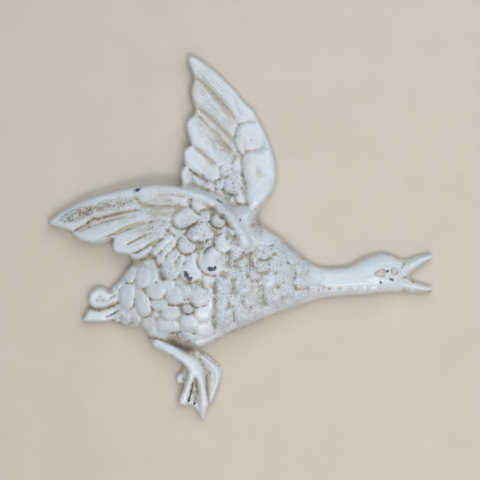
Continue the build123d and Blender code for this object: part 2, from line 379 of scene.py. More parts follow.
def groove(points, width, depth):
    """A soft furrow along a line, which fades out at both ends."""
    line = smooth_line(points)
    at = window(line, width + 0.5)
    gap, along = distance_to(line, at)
    fade = np.clip(np.minimum(along, 1 - along) / 0.2, 0.15, 1)
    relief[at] -= depth * fade * (1 - ease(gap, 0, 1.25 * width))


# fields from 0 to 1: rough skin, wash in hollows, wash everywhere (with painted shade on the near wing),
# dark line, little wash, streaked barbs
stipple, dirt, tan, ink, clean, near_barbs, far_barbs = (np.zeros(node_x.shape) for _ in range(7))


def mark(field, *patches):
    """Marks soft ovals on a field: (x, z, half length, half width, strength), with or without an angle."""
    for x, z, length, width, strength, *turned in patches:
        angle = turned[0] if turned else 0
        radius = np.hypot(*oval(x, z, length, width, angle, everywhere))
        np.maximum(field, strength * (1 - ease(radius, 0.6, 1.15)), out=field)


def bare_patch(points, strength):
    """A shallow pan with a given outline where the wash lies thick, with a fine dark line round it."""
    outline = smooth_line(points, closed=True)
    at = window(outline, 1.0)
    inside = depth_inside(outline, at)
    tan[at] = np.maximum(tan[at], strength * ease(inside, -0.2, 0.3))
    ink[at] = np.maximum(ink[at], 1 - ease(np.abs(inside + 0.1), 0.1, 0.5))
    relief[at] -= 0.25 * ease(inside, -0.1, 0.4)


# ---- the far wing --------
blade(
    ((-16.2, 17.6), (-14.3, 21.8), (-11, 19), (-6, 15.6), (-2, 11), (-9, 9.5), (-15.6, 12)),
    0.4, 1.4, moat=0.1,
)
blade(
    ((-14.9, 28.2), (-13, 30.1), (-11, 31), (-7.5, 28.8), (-3, 24.6), (2, 20.8), (3, 17.5), (0.5, 14.6),
     (-4.5, 15.2), (-9, 18), (-12.5, 20.6), (-14.4, 22.2), (-14.9, 25.4)),
    1.3, 3, base=(4, 16), tip=(-13, 27), moat=0.15,
)
blade(
    ((-13.7, 40.4), (-12.4, 43), (-10, 44.9), (-6.5, 43.4), (-1, 38.6), (4, 33.6), (8, 28.4), (9, 24),
     (6.5, 21.4), (2.5, 21.2), (-2.5, 24.6), (-7, 28.8), (-11.2, 31.6), (-12.1, 34.5)),
    1.3, 3.2, base=(8, 22), tip=(-12, 40), moat=0.15,
)
blade(
    ((-9, 47.4), (-6.5, 46.9), (-1, 42.4), (5, 36.4), (9.8, 31), (9.6, 26.4), (4, 32.4), (-3, 40.2)),
    0.6, 1.4, moat=0.1,
)
blade(
    ((-11.5, 56), (-10.4, 60), (-8.6, 61.6), (-5.5, 58.9), (-0.5, 53.4), (5, 47.6), (10.2, 41.6),
     (11, 36.6), (9.8, 33.2), (6.5, 35.6), (1.5, 40.4), (-4, 45.4), (-8.8, 49.2), (-10.8, 52.8)),
    1.3, 3.2, base=(10, 36), tip=(-10, 58), moat=0.15,
)
blade(
    ((-12.8, 70), (-11.8, 72.2), (-8, 71.3), (-2, 67.4), (4, 62.2), (10, 55.8), (15, 50), (18.6, 46.6),
     (20, 43), (16, 41.4), (11, 41.8), (8, 45.6), (3, 51.4), (-2.5, 57.4), (-6.5, 61.2), (-10, 63.4),
     (-11.4, 66.4)),
    1.4, 3.4, base=(16, 42), tip=(-11, 70), moat=0.15,
)
far_wing_scales = (
    (6.2, 19.4, 3.6, 2.8, 200, 0.9), (11, 21, 4.8, 2.4, 262, 0.8), (3.4, 12.8, 2.8, 2.2, 200, 0.4),
    (8.9, 12.8, 4.8, 4.1, 235, 1.1), (13.2, 7, 3.6, 3, 250, 0.5), (16.4, 34.7, 6.9, 6.2, 110, 1.9),
)
for numbers in far_wing_scales:
    scale(*numbers)
ridge(((10.3, 33.4), (11.6, 30.4), (13.2, 27.6)), (1.2, 1.5, 1.1), (1, 1.3, 1))
ridge(((19.8, 41.6), (22.6, 36.8), (24.3, 31.6)), (1.1, 1.5, 1.2), (0.9, 1.2, 0.9))
blade(
    ((13.2, 26), (16, 27.9), (20.5, 28.4), (24, 29.8), (26.4, 27.6), (28.2, 22), (28.4, 15.6),
     (26.8, 10.4), (24, 6), (21, 2.6), (18, 1.4), (15.4, 3.6), (14.6, 8), (14.9, 13), (13.3, 18),
     (12.7, 22.6)),
    2.2, 4.6,
)
far_wing_grooves = (
    (((-9, 49), (-4, 45.2), (2, 39.8), (6.5, 35.4), (9.8, 32.4)), 0.9, 0.9),
    (((-5.8, 60.6), (-1, 55.4), (4.5, 49.4), (8.5, 44.6), (10.6, 41.4)), 0.9, 0.7),
    (((-8, 57.2), (-3.5, 53.4), (1, 49), (5, 44.8)), 0.9, 0.4),
    (((-9.6, 60.8), (-6, 57.6), (-3, 54.2)), 0.7, 0.25),
    (((4.6, 58), (7, 54), (10, 50)), 0.7, 0.3),
    (((-8, 68.8), (-3, 64), (2, 59), (7, 53)), 0.6, 0.15),
    (((-4, 63.4), (2, 57), (8, 50), (12, 44.4)), 0.6, 0.15),
    (((-8.6, 46), (-3, 41.2), (3, 35), (8.4, 29)), 0.8, 0.45),
    (((-9.4, 41.6), (-6, 38.4), (-3, 35)), 0.9, 0.4),
    (((-5.6, 41.2), (-1, 36.8), (4, 31), (7, 26.6)), 0.7, 0.3),
    (((-9, 36.6), (-4, 31.8), (1, 26.4)), 0.6, 0.15),
    (((-10.4, 30.4), (-6.4, 27.6), (-2.4, 23.6), (1.6, 20.6)), 0.9, 0.7),
    (((-10.4, 27.6), (-7, 24.8), (-3.6, 21.4)), 0.9, 0.35),
    (((-12.4, 20.4), (-8, 17.4), (-4, 14.8), (0, 13.8)), 1, 0.9),
    (((19.4, 22), (19.6, 19.4), (20.4, 17.6), (22, 16.4), (24.4, 16)), 0.9, 0.6),
    (((18.2, 12.6), (18.8, 15), (20.2, 17.4)), 0.9, 0.5),
    (((14, 9.6), (15, 6.4), (17.2, 3.6)), 0.9, 0.5),
    (((24.6, 30.6), (22.4, 28.6), (18.6, 27.9)), 0.8, 0.5),
)
for points, width, depth in far_wing_grooves:
    groove(points, 1.9 * width, 0.6 * depth)
mark(
    stipple,
    (-4, 14, 10, 5.5, 0.6, -25), (8, 13, 8, 9, 0.8), (10, 2, 9, 5, 0.45, -30), (5, 28, 9, 4, 0.5, -45),
)
mark(
    dirt,
    (-4, 13, 10, 4.5, 0.4, -25), (-13, 12, 4, 4, 0.5), (3, 50.5, 11, 1.7, 0.5, -51),
    (0, 42, 13, 1.7, 0.5, -49), (2, 34.5, 11, 1.6, 0.55, -50), (-5, 25.6, 8, 1.5, 0.5, -43),
    (10, 3, 10, 4, 0.45, -35), (20, -3, 3, 6, 0.35), (20.6, 17.4, 2.4, 2.8, 0.35),
)
mark(tan, (-1, 45, 11, 34, 0.34, 33))
mark(clean, (6, 40, 24, 34, 0.5, 33), (21, 18, 9, 20, 0.6))
mark(
    far_barbs,
    (3, 56, 19, 4.2, 1, -47), (-1, 50, 15, 5, 1, -47), (0, 36, 14, 6, 1, -47),
    (-5, 24, 10, 4.5, 0.9, -47), (-9, 15, 7, 3.5, 0.8, -47),
)

# ---- the near wing: primaries --------
blade(
    ((-65.8, -9.3), (-60, -6.9), (-52, -3.6), (-44, -1.3), (-36, 0.4), (-32, 0.6), (-32, -1.4), (-40, -3),
     (-50, -6), (-58, -9), (-62, -10.4)),
    0.55, 1.6, moat=0.2,
)
blade(((-54.4, -14.5), (-50.4, -12.6), (-46.4, -10.4), (-45.6, -12.4), (-50, -14.2)), 0.35, 0.7)
blade(
    ((-66.2, -10.2), (-60, -8.5), (-52.4, -5.7), (-45, -3.5), (-38, -1.9), (-30.5, -1), (-30, -2.9),
     (-36, -5), (-42, -7.4), (-46.5, -9.9), (-50, -11.6), (-53.4, -13.6), (-57, -14.4), (-61, -13.3),
     (-64.6, -11.5)),
    1.5, 1.6, base=(-31, -2), tip=(-52, -9), base_share=0.3,
)
blade(
    ((-77.3, -5), (-70, 0.7), (-60, 5.6), (-50, 8.4), (-40, 10.5), (-36.4, 10.2), (-34.4, 5),
     (-33.4, 1.5), (-40, 0.7), (-47, -0.9), (-52, -2.2), (-55.6, -3), (-58.6, -5.2), (-62, -7.1),
     (-66, -8.9), (-70, -8.3), (-74, -7.1)),
    1.6, 1.7, base=(-34, 3), tip=(-56, -2), base_share=0.4,
)
ridge(((-37.6, -20.4), (-33, -19.2), (-29, -16.6)), (0.5, 0.9, 0.8), (0.3, 0.5, 0.5))
ridge(((-37.6, -21.6), (-33, -21), (-30, -19.4)), (0.4, 0.7, 0.6), (0.2, 0.4, 0.4))
blade(
    ((-47, -13), (-44, -10.5), (-38, -7.9), (-31, -5.5), (-24, -4.1), (-20, -6), (-23, -10.5),
     (-27, -13.2), (-32, -16.6), (-37, -18.8), (-42, -19.6), (-45.5, -19), (-47.4, -16.4)),
    1.5, 2.2, base=(-21, -6), tip=(-45, -16),
)
near_wing_grooves = (
    (((-71, -3), (-66, -1.6), (-60, 0.6), (-54, 2.4)), 1.9, 0.35),
    (((-62, -0.4), (-54, 1.4), (-46, 3.2), (-38, 4.4)), 1.7, 0.35),
    (((-57, 3.6), (-48, 5.4), (-40, 6.6), (-35.4, 7.2)), 0.7, 0.3),
    (((-58, 2.6), (-49, 4), (-40, 5.2), (-34.8, 5.6)), 0.6, 0.25),
    (((-56, 0.4), (-49, 2.2), (-42, 3)), 0.6, 0.22),
    (((-52, -0.8), (-46, 0.6), (-40, 1.4)), 0.6, 0.18),
    (((-52, 7.2), (-45, 8.6), (-38, 9.4)), 0.5, 0.18),
    (((-59.2, -5.6), (-57, -4), (-54.8, -2.4)), 0.7, 0.8),
    (((-54.6, -3.6), (-50, -2.4), (-45, -1.2), (-38, 0.2), (-33, 0.6)), 0.7, 0.4),
    (((-62, -8.4), (-56, -6.2), (-48, -3.6), (-40, -1.6)), 0.8, 0.3),
    (((-53.8, -13.4), (-50, -11.8), (-46.6, -10.2)), 0.7, 0.9),
    (((-36.6, 9.6), (-35.8, 7.4), (-34.4, 5), (-34.6, 3)), 0.9, 0.5),
    (((-42.4, -16.2), (-37, -13.6), (-31, -10.8), (-25, -8.8)), 0.9, 0.75),
    (((-37, -15.4), (-32, -13), (-27, -11.4)), 0.6, 0.3),
    (((-40, -19.7), (-35, -18.3), (-30.5, -15.6), (-27, -13.4)), 0.8, 0.5),
    (((-36, -8.8), (-30, -7), (-24, -6)), 0.6, 0.25),
)
for numbers in near_wing_grooves:
    groove(*numbers)

# ---- the near wing: the long feathers of the arm, and the fingers over the body --------
blade(
    ((-37.2, 9.8), (-35.4, 6), (-32, 3.4), (-26, 2.6), (-19, 3), (-13.4, 4.2), (-10.6, 6.2), (-12.6, 8.6),
     (-19, 10.2), (-27, 10.8)),
    1.3, 2, base=(-11, 5), tip=(-33, 6), base_share=0.5,
)
ridge(((-33, 1), (-26, 0.9), (-19, 0.4)), (0.9, 1.9, 1.2), (0.1, 0.35, 0.2))
ridge(((-37, -2.4), (-30, -2.9), (-21, -3.3)), (0.7, 1.6, 1), (0.1, 0.3, 0.2))
arm_grooves = (
    (((-28.6, 7.2), (-22, 7.7), (-17, 7.4), (-12, 6.2)), 0.9, 0.4),
    (((-30, 5.4), (-24, 5.6), (-19, 5.2)), 0.8, 0.2),
    (((-33, 2.4), (-25, 1.9), (-17, 2), (-11.6, 1.4)), 1.3, 0.3),
    (((-32, -1), (-25, -1.4), (-19.5, -1.7)), 1, 0.3),
    (((-30, -3.9), (-25, -4.2), (-20.5, -4.4)), 0.8, 0.25),
    (((-23, -7), (-20, -9.6), (-17, -11.6)), 0.8, 0.5),
)
for numbers in arm_grooves:
    groove(*numbers)
blade(
    ((-18.6, -10.8), (-22.8, -12.6), (-26.6, -15.6), (-29.3, -18.8), (-28, -20.8), (-25.6, -19.8),
     (-22, -15.8)),
    1.2, 1.3, base=(-18, -11), tip=(-28, -20),
)
blade(
    ((-17.6, -13), (-21, -14.6), (-24.4, -18.4), (-26.6, -21.2), (-25.6, -24.2), (-23.4, -23.8),
     (-20.6, -20), (-18.6, -17)),
    1.4, 1.4, base=(-18, -13), tip=(-26, -23),
)
blade(
    ((-14, -16), (-18, -17.2), (-21.8, -20.2), (-24.4, -24.8), (-23.4, -29), (-20.6, -31), (-17, -30),
     (-14.6, -27.4), (-13.6, -23)),
    1.6, 2, base=(-15, -17), tip=(-21, -30),
)
groove(((-19.8, -17.6), (-21.6, -19.8), (-23, -21.8)), 0.6, 0.5)
groove(((-14.8, -18.4), (-16, -21.2), (-17.8, -23.8), (-16.6, -26.2)), 0.8, 0.5)
blade(
    ((-9.2, -18.8), (-12.2, -21.6), (-15, -25.6), (-15.2, -29), (-12.4, -31.6), (-8.6, -31.6),
     (-5.6, -29.8), (-5.6, -27), (-7.8, -23.6)),
    1.6, 2, base=(-9, -19), tip=(-11, -31),
)
groove(((-9.6, -20), (-11.6, -22), (-14.2, -24.8)), 0.7, 0.6)
near_wing_scales = (
    (-5, 4.4, 5.6, 3.4, 195, 1.2), (8.3, -8.4, 2.6, 2, 300, 0.9), (10.8, -12.8, 2, 1.7, 270, 0.7),
    (2.3, -3.6, 3.5, 3.4, 235, 1.3), (-12.8, -2.8, 6.3, 4.2, 203, 1.7), (-5.6, -9.4, 6.8, 4.2, 197, 1.8),
    (-11.4, -14.4, 5.4, 4.1, 218, 1.7), (10.4, -18.2, 3.8, 3.2, 250, 1.2),
    (-0.4, -21.8, 6.9, 6.7, 250, 1.6), (4.8, -14.2, 4.8, 4.2, 215, 1.8),
)
for numbers in near_wing_scales:
    scale(*numbers, base_share=0.12)
scale(0.8, -21.4, 5.6, 5.6, 135, 1.9, 0.5)
covert_creases = (
    ((-18.9, -4), (-17.6, -6.2), (-15.2, -7.5)),
    ((-12.4, -11.4), (-10.6, -13.3), (-8, -14.1), (-5, -13.9)),
    ((-16.1, -16.2), (-15.2, -18.2), (-12.8, -19.3), (-10.6, -19.6)),
    ((0.4, -12), (0.3, -15.4), (2.2, -18), (5.6, -18.9)),
    ((6.9, -17.4), (8, -19.8), (10.4, -21.2)),
    ((-1.2, -4.6), (-0.2, -6.6), (2.4, -8)),
    ((-4.6, -21), (-3.8, -18), (-1.4, -16.2)),
)
for points in covert_creases:
    groove(points, 0.65, 0.55)
groove(((2.4, -20.4), (4.6, -19.8), (6.4, -20.6)), 1.2, 0.5)
groove(((-11.6, 5.2), (-10.4, 2.4), (-8.2, -0.2), (-5.4, -1.8)), 0.8, 0.6)
ridge(
    ((-76.6, -4.9), (-71.6, -1), (-66, 2), (-60, 4.6), (-50, 7.5), (-40, 9.7), (-30, 11), (-21, 10.9),
     (-12, 9.3), (-3, 6.2), (3.6, 2.4), (8.6, -2.6), (12.2, -8.2), (14.4, -13.6), (15.2, -16)),
    (0.8, 1.4, 1.8, 2, 2.2, 2.4, 3, 3.4, 3.3, 3.2),
    (0.9, 1.3, 1.5, 1.5, 1.6, 1.7, 2, 2.2, 2, 1.6),
)
mark(
    stipple,
    (-62, -1, 11, 3.2, 0.9, 18), (-46, 3, 12, 3.4, 0.6, 12), (1, -3, 8, 7, 0.9), (9, -10, 5, 9, 0.8, 15),
    (19, -7, 4, 9, 0.7, 20), (-6, -10, 12, 11, 0.8), (10, -22, 9, 5, 1), (-26, -8, 9, 7, 0.6),
    (-20, -22, 9, 9, 0.5), (-26, 3, 14, 5, 0.35), (-15, 1, 9, 3, 0.4),
)
# On the near wing's primaries and arm this tan is partly tan haze and partly painted shade that darkens the
# near wing.
mark(
    tan,
    (19, -5, 3.2, 8, 0.32, 20), (-56, -1, 22, 6, 0.28, 17), (-26, 1, 20, 11, 0.24, 8),
    (-25, -0.6, 9, 3.6, 0.38, 2),
)
mark(
    dirt,
    (-62, -1, 11, 2.6, 0.3, 18), (-47, -4.6, 16, 1.7, 0.4, 17), (-60, -8, 5, 1, 0.5, 17),
    (0, 0.6, 6.5, 3, 0.75, -20), (8.4, -8, 2.4, 8, 0.75, 22), (12, -21, 6, 4, 0.7),
    (3.6, -20.2, 3.4, 1.4, 0.6), (-30, -20.5, 8, 2, 0.6, 5), (-24, -23, 3, 4, 0.55, -30),
    (-18, -9, 4, 3, 0.4), (-9, -33, 9, 2.4, 0.6),
)
mark(clean, (-35, 1.5, 8, 5, 0.5), (-26, -1, 10, 5, 0.6))
mark(
    near_barbs,
    (-58, 0, 17, 3.6, 1, 17), (-46, 4, 15, 3.6, 0.9, 11), (-47, -6, 17, 2.6, 1, 17),
    (-34, -11, 12, 5, 1, 22), (-24, 2, 13, 5, 0.8, 3), (-31, -18, 8, 4, 1, 22),
)

# ---- the body --------
body_scales = (
    (-45.2, -50.4, 2.2, 1.5, 240, 0.5), (-40.9, -49.8, 2.8, 2.2, 260, 0.8),
    (-36.2, -49.6, 2.4, 2.2, 280, 0.8), (-43.4, -33.2, 2.6, 1.7, 230, 0.8),
    (-38.7, -28.9, 3.9, 2.7, 250, 1.2), (-40.2, -39, 5.9, 3.7, 266, 1.7),
    (-27.9, -29.4, 3.2, 2.6, 250, 1), (-32.5, -30.2, 4.9, 3.8, 262, 1.7),
    (-32.5, -42.3, 5.7, 3.7, 284, 1.8), (-24.8, -41.6, 3.6, 4.2, 275, 1.2),
    (-21, -33.6, 3.6, 3, 240, 1.1), (-26.6, -35.4, 4.6, 4.9, 250, 1.8),
    (-29.9, -52.8, 4.4, 3.9, 255, 1.5), (-21.4, -51.8, 3.4, 5.6, 268, 1.4),
    (-19.8, -46, 3.6, 4.6, 275, 1.5), (-17.8, -38.2, 4.2, 4.5, 268, 1.7),
    (-11.8, -44.3, 2.1, 2.5, 265, 1), (-12.6, -36.4, 3, 2.6, 265, 1.2),
    (-10.8, -50.6, 3.4, 4.7, 265, 1.5), (-12.6, -55.6, 1.8, 2.8, 268, 0.7),
    (-6.9, -38.6, 4.6, 4.2, 282, 1.7), (-3.4, -32.2, 2.6, 1.6, 275, 0.8),
    (-4.9, -46.6, 3.6, 3.9, 275, 1.3), (-4.2, -54, 3.8, 4.3, 272, 1.4),
)
for numbers in body_scales:
    scale(*numbers)
flank_and_breast_scales = (
    (4.6, -33.6, 4.4, 3.6, 265, 1.1), (3.6, -41.6, 3.8, 3, 250, 1), (5.4, -48.6, 3.6, 3.4, 260, 1.1),
    (7.4, -53.6, 2.8, 4.2, 270, 0.9), (8.2, -27.6, 2.8, 3.6, 270, 0.8), (9.8, -40.4, 3.2, 2.8, 280, 0.9),
    (13.6, -33.6, 4.4, 3.8, 280, 1.1), (13, -47.4, 4.2, 3.6, 275, 1.1), (16.4, -41, 3.6, 2.8, 270, 1),
    (18.8, -48.4, 2.6, 2.6, 280, 0.8), (18.4, -28.4, 2.8, 2.6, 300, 0.8), (22.4, -24.6, 2.8, 3, 280, 0.9),
    (24, -11.8, 4, 4, 320, 1), (23.4, -18.2, 3.4, 4.4, 290, 1.1), (30.4, -15.6, 3, 4, 310, 0.8),
    (25.6, -31.6, 3.8, 3, 270, 0.9), (27, -38.8, 4.8, 4, 280, 1.1), (25.6, -45, 2.4, 3.6, 280, 0.8),
    (29, -23.2, 4.2, 4, 280, 1), (32.6, -42.4, 2.6, 4.4, 285, 0.9), (33.4, -35.6, 3.4, 3.6, 290, 1),
    (34, -28.4, 4.6, 2.8, 278, 1.1), (36.8, -20.8, 3, 3.2, 300, 1), (39.6, -38.6, 2.8, 4, 290, 0.9),
    (40.4, -31.8, 3.4, 3.8, 300, 1), (40.6, -25.6, 2.8, 3.4, 300, 0.9), (47, -30.6, 3.2, 3.6, 300, 0.6),
    (47, -36.6, 2.6, 3.4, 290, 0.6),
)
for numbers in flank_and_breast_scales:
    scale(*numbers, moat=0.3)
body_grooves = (
    (((-0.4, -30), (0.2, -36), (0.6, -43), (0.2, -50), (0.8, -56.8)), 1.8, 0.6),
    (((16.6, -16.5), (16.4, -20), (16.8, -24.5)), 1.5, 0.9),
    (((16.8, -24.5), (19.6, -30), (21.6, -36), (21.8, -42), (23.6, -49)), 2.2, 0.5),
    (((9, -33), (9.6, -38), (8.6, -44), (9.6, -50)), 1.4, 0.4),
    (((-26.2, -31.4), (-26.6, -33.2)), 0.8, 0.6),
    (((-27, -57.4), (-24.4, -55.5), (-18, -55.4), (-13, -54.6), (-9, -56), (-3, -57.6)), 1, 0.8),
)
for numbers in body_grooves:
    groove(*numbers)
mark(
    stipple,
    (11, -36, 14, 12, 1), (11, -50, 14, 8, 0.8), (20, -26, 7, 11, 1), (32, -23, 15, 10, 0.95, -30),
    (33, -37, 16, 8, 0.8, 20), (47, -35, 6, 4, 0.5, 10), (-8, -35, 9, 6, 0.6), (-12, -44, 6, 4, 0.8),
    (-22, -27, 5, 5, 0.8), (-24, -43, 20, 13, 0.35), (-40, -50, 8, 2.5, 0.7),
)
mark(
    dirt,
    (17.4, -24, 4, 9, 0.6, 10), (22, -39, 2.4, 11, 0.35, 5), (0.4, -44, 2, 13, 0.7),
    (9, -32, 9, 3, 0.4, -10), (24, -32, 24, 20, 0.25), (-12.5, -43.6, 4.2, 3.4, 0.9),
    (-24.5, -49, 5, 1.6, 0.5), (-22.5, -27.5, 3, 4, 0.55, -35), (-34, -24, 4, 2, 0.4),
    (-43, -51.5, 5, 1.4, 0.5),
)
mark(clean, (22, -34, 28, 24, 0.45), (-18, -51, 20, 5, 0.45), (62, -30, 22, 12, 0.4))

# ---- the belly, the leg and the foot --------
groove(((-23, -58.6), (-19.5, -60), (-15, -62.2), (-10.5, -64.8)), 2.2, 1.9)
ridge(((-14, -57), (-8, -57.4), (-3, -57.4)), (0.8, 1.2, 0.8), (0.3, 0.5, 0.3))
ridge(((-11.5, -60.3), (-6, -60.4), (-1.5, -58.8), (3.5, -56.4)), (0.9, 1.5, 1.3, 0.8), (0.6, 1.2, 1, 0.5))
ridge(
    ((-26.6, -60.6), (-21.4, -62.9), (-15.8, -66.3), (-11, -69.8), (-8.6, -73.6)),
    (2.7, 2.9, 2.9, 3.5, 3.9), (5.8, 6.4, 6.2, 5.8, 5.4), above_ground=False, flatness=3.4,
)
ridge(
    ((-10, -73.4), (-11.2, -78), (-12.9, -83), (-14.4, -87.4)),
    (2.6, 2, 2.2, 2.7), (5.4, 5.1, 4.8, 4.5), above_ground=False, flatness=3.4,
)
ridge(
    ((-8, -72.8), (-6.2, -78), (-5.1, -84), (-4.9, -89.6), (-5.3, -95)),
    (2.6, 2, 2.2, 2.6, 1), (5.5, 5.2, 5, 4.7, 3.2), above_ground=False, flatness=3.4,
)
blade(
    ((-6.6, -66.2), (-3.6, -66.8), (-0.6, -68.8), (2, -71.6), (3.4, -75), (2.8, -78), (1.8, -82),
     (0.4, -86), (-1.6, -88.6), (-2.8, -86), (-3.2, -80), (-3.4, -74), (-5, -69.6)),
    1.1, 2.6,
)
ridge(
    ((-6, -66.6), (-2.6, -69.6), (0.2, -72.4), (1.2, -76), (1, -80), (-0.6, -86)),
    (1.2, 1.7, 2, 1.7, 1.2, 0.8), (4.2, 4.7, 4.8, 4.5, 4.1, 3.6), above_ground=False, flatness=2.6,
)
ridge(((-16.5, -76.6), (-16.2, -78)), (1.5, 1.7), (3.8, 3.8), above_ground=False, flatness=3)
groove(((-2.8, -72.6), (-1.9, -75), (-1.5, -79.4)), 0.6, 0.5)
groove(((-9.9, -78.4), (-10.6, -82), (-12, -87.4)), 0.8, 0.8)
groove(((-8.4, -77), (-7.8, -81), (-8, -85)), 0.7, 0.4)
mark(stipple, (-9.2, -84, 2.2, 6, 1), (-14, -60.5, 9, 4, 1, -20), (-16, -56, 7, 1.6, 0.8))
mark(
    dirt,
    (-13, -62, 9, 2.4, 0.5, -28), (-19, -57.2, 8, 1.4, 0.6), (-9, -82, 1.5, 6.5, 0.7),
    (-2.4, -79, 1.6, 6, 0.45), (-13.7, -75, 1.6, 4.6, 0.8), (-6.6, -64.5, 3, 1.8, 0.5, -35),
)
mark(
    tan,
    (-13.5, -60.6, 8.5, 3, 0.42, -28), (-2.9, -78, 1.5, 8, 0.55, -4), (0.6, -68.9, 5.6, 1.1, 0.5, -46),
    (-0.6, -83, 1.8, 6, 0.35, -10), (-14.2, -73.4, 1.2, 1.6, 0.8),
)

# ---- the tail --------
scale(-52.6, -38.6, 4.4, 2.8, 165, 0.7, 0.8)
ridge(
    ((-50, -36.8), (-52.6, -36.3), (-55.2, -37.2), (-56.9, -39.6), (-56.6, -41.9), (-54.2, -43.1),
     (-50.4, -42.8), (-47, -41.2), (-44.4, -39.2)),
    (1, 1.7, 2, 1.9, 1.7, 1.5, 1.2), (0.5, 0.9, 1.2, 1.2, 1, 1, 0.6), flatness=2.6,
)
groove(((-54.5, -37.8), (-52.8, -39.6), (-51.4, -40.6), (-49.8, -41.3)), 0.6, 0.65)
groove(((-56.2, -40.4), (-54.6, -40.1), (-53, -40.5)), 0.6, 0.3)
groove(((-50.6, -36.7), (-48.2, -37.4), (-46.2, -37)), 0.7, 0.4)
groove(((-49, -40), (-47.2, -39.9), (-45.6, -39.2)), 0.6, 0.25)
groove(((-57.4, -44.5), (-52.4, -44.6), (-48.4, -43.3), (-45.8, -41.6)), 0.8, 1.1)
mark(clean, (-53.5, -39.8, 4.6, 4.2, 0.65))
mark(tan, (-52.6, -41.2, 2.6, 1.6, 0.22, -10))
blade(
    ((-61.2, -50.1), (-58.4, -46.2), (-54, -46.3), (-49.6, -45.2), (-45, -42.9), (-42.6, -43.6),
     (-45, -46), (-49, -48.4), (-54, -50.4)),
    1.3, 1.5, base=(-44, -43), tip=(-60, -49),
)
ridge(
    ((-56, -50.4), (-49.6, -49.6), (-45.6, -47.8), (-42.2, -45.8)),
    (0.6, 0.9, 1, 0.7), (0.4, 0.8, 0.8, 0.4),
)
groove(((-51, -48.9), (-47, -47.2), (-43.4, -45)), 0.6, 0.6)
ridge(((-47.2, -34.9), (-44.6, -32.4), (-42, -29.2)), (0.9, 1, 0.8), (0.6, 0.7, 0.4))
mark(dirt, (-52, -45, 6, 0.9, 0.7, 8), (-47.5, -37.4, 2.4, 1.2, 0.5, -20))

# ---- the neck, the head and the bill --------
for x in (50.5, 55.0, 59.6, 64.2, 68.6, 73.0):
    scale(x, -36.6 + 0.03 * (x - 50), 2.4, 1.3, 15, 0.9, 0.8)
ridge(((50, -33.6), (60, -33.4), (70, -33.6), (78, -34.2)), (0.8, 1.8, 1.8, 1.2), (0.1, 0.35, 0.35, 0.15))
for x in (48.0, 50.2, 52.6, 54.8, 60.6, 62.8, 65.4, 67.6, 70.4):
    groove(((x, -34.8), (x + 0.4, -36.0), (x + 0.2, -37.4)), 0.6, 0.6)
groove(((47.6, -30.4), (49.6, -30.2), (51.6, -30.4)), 0.6, 0.25)
eye_x, eye_z = 79.6, -27.4
blade(
    ((73.4, -28.4), (76.4, -26), (80, -24.6), (84.4, -25.2), (85.6, -27.6), (83, -29.6), (78, -30.4)),
    0.25, 0.9,
)
scale(eye_x, eye_z, 2.0, 2.0, 0, 0.75, 1.0)
ridge(
    ((73.6, -28.6), (76.6, -26.3), (80, -25.2), (84.6, -25.8)),
    (0.5, 0.7, 0.7, 0.5), (0.3, 0.45, 0.45, 0.3),
)
ridge(((73.8, -29), (77, -29.9), (80.4, -29.9), (84.4, -28.9)), (0.4, 0.5, 0.5, 0.4), (0.2, 0.3, 0.3, 0.2))
ridge(
    ((86.4, -27.6), (91, -24.8), (96, -22.2), (100, -20.7)),
    (3.4, 2.5, 2.1, 1.6), (5.2, 4.8, 4.4, 3.8), above_ground=False, flatness=2.6,
)
ridge(
    ((86.4, -32.2), (91.5, -34.3), (96.5, -35.4), (100.2, -35.8)),
    (2.7, 2.1, 1.9, 1.6), (5, 4.6, 4.2, 3.6), above_ground=False, flatness=2.6,
)
groove(((86.2, -26.8), (87.2, -24.8), (88.8, -23.3)), 0.8, 0.5)
groove(((86.8, -31.6), (89.6, -33.4), (91.6, -34.2)), 0.7, 0.5)
groove(((86, -30.6), (88.4, -30.2), (90.6, -30)), 0.8, 0.6)
bare_patch(((73.7, -28.8), (75.4, -27.2), (77.7, -26.4), (78.5, -27.4), (78.2, -29.3), (76.6, -29.8)), 0.62)
bare_patch(((81.5, -26.1), (83.3, -25.9), (84.5, -26.8), (84.2, -28.1), (82.6, -28.8), (81.5, -28.1)), 0.62)
mark(
    dirt,
    (87.6, -24.2, 1.6, 1, 0.4, 50), (88.6, -32.6, 2, 0.9, 0.4, -30), (88, -35.6, 4, 0.9, 0.35),
    (58, -36.2, 15, 1.6, 0.55, 2),
)
mark(tan, (89.6, -33, 2.6, 1, 0.4, -25), (89.2, -25, 2.8, 0.8, 0.35, 40), (96, -36.4, 5, 1.2, 0.3, -5))

# ---- casting texture --------
softness = 0.33  # of edges and creases, as a casting has them
relief = np.where(relief > 0, blur(relief, softness), 0)
grain = noise(0.36)
lumps = noise(1.5)
rough = 0.12 * np.minimum(grain, 0.8) + 0.15 * noise(0.75) + 0.22 * lumps
relief += np.where(is_used, stipple * rough + 0.02 * lumps, 0)
relief = np.clip(relief, 0, tallest_relief)
relief[is_used] = np.maximum(relief[is_used], thinnest_relief)


def hollowness(radius, limit):
    """How far a node lies below its surroundings at a radius, as a share of a limit."""
    total = np.zeros(relief.shape)
    spokes = 16
    beyond_outline = -0.9  # what lies outside the casting counts as below it
    for spoke in range(spokes):
        turn = 2 * math.pi * spoke / spokes
        i = round(radius / pitch * math.cos(turn))
        j = round(radius / pitch * math.sin(turn))
        height = np.roll(relief, (i, j), (0, 1))
        known = np.roll(is_used, (i, j), (0, 1))
        total += np.where(known, np.clip(height - relief, -limit, limit), beyond_outline * limit)
    return total / spokes / limit


